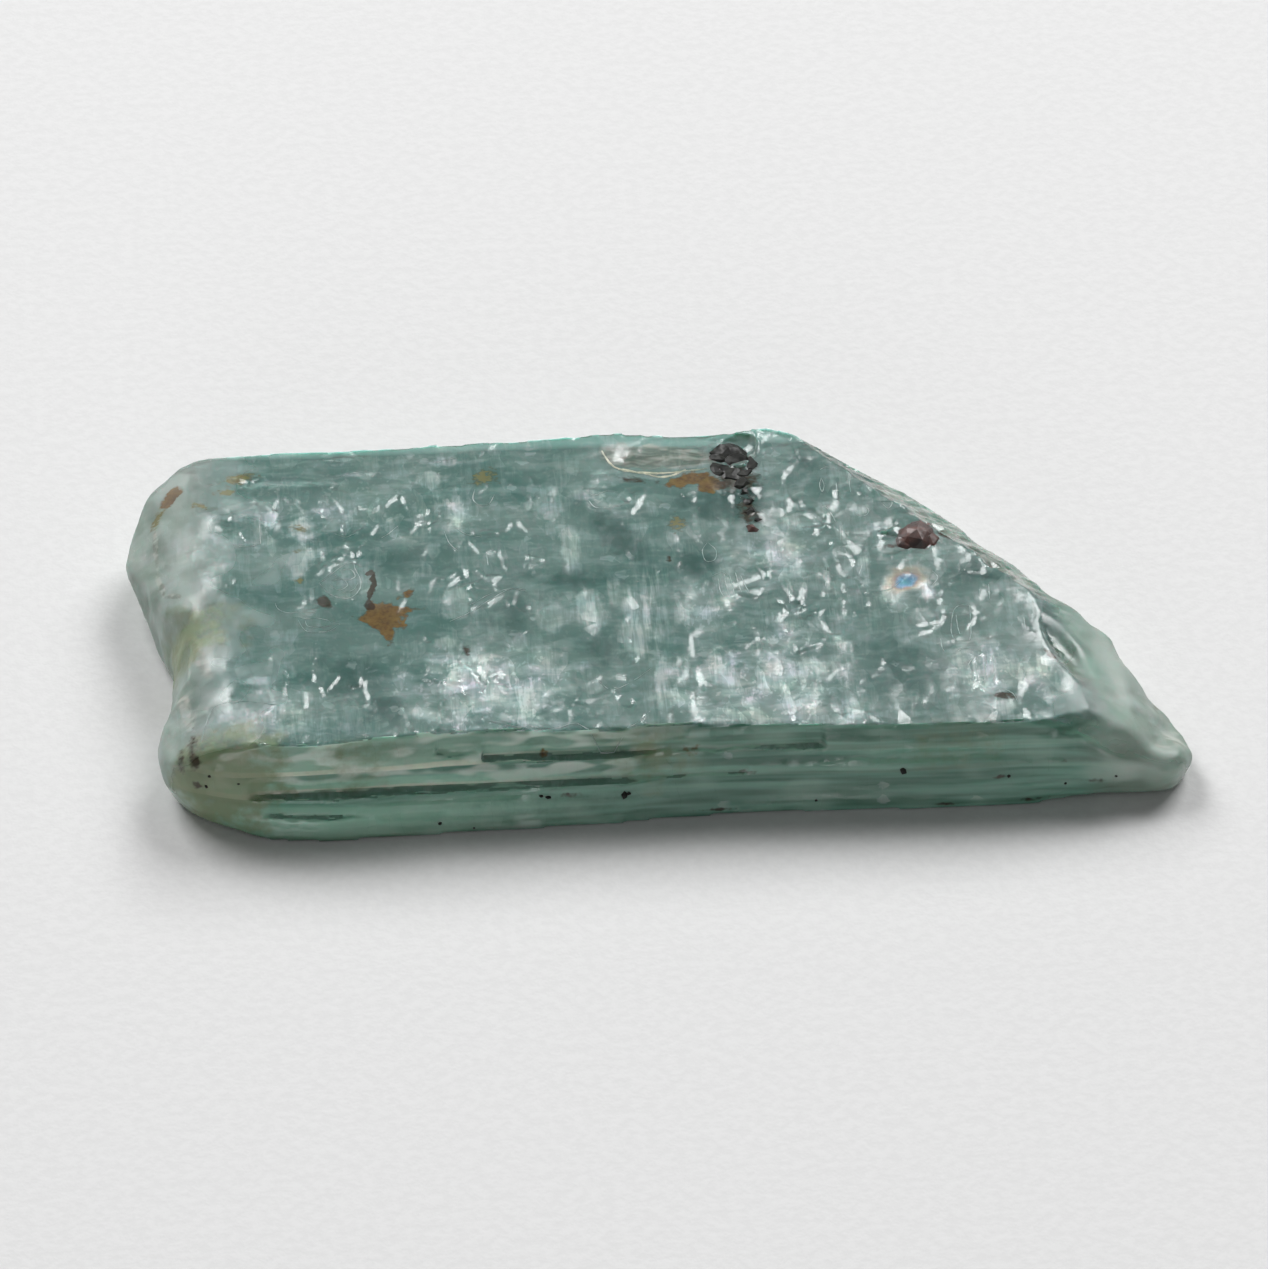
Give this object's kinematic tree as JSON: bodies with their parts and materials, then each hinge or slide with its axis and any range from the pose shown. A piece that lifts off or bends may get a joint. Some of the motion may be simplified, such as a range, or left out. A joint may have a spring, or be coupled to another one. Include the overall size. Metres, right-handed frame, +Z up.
{
  "type": "rough kyanite crystal",
  "caption": "Flat rough blade of blue-green kyanite with stepped long sides, a notched, rounded end and a slanting broken end that tapers to a blunt tip.",
  "frame": {"origin": "centre of the bounding box in plan, on the flat face that the stone lies on", "axes": "+X along the blade towards its slanting broken end, +Y across it towards the side that overhangs, +Z up out of the upper face"},
  "size_m": [0.0298, 0.0138, 0.0029],
  "materials": {
    "kyanite": "glassy, translucent, clouded blue-green, with brown stains and dark grains"
  },
  "bodies": {
    "root": {"kyanite_blade": "kyanite"}
  },
  "joints": []
}
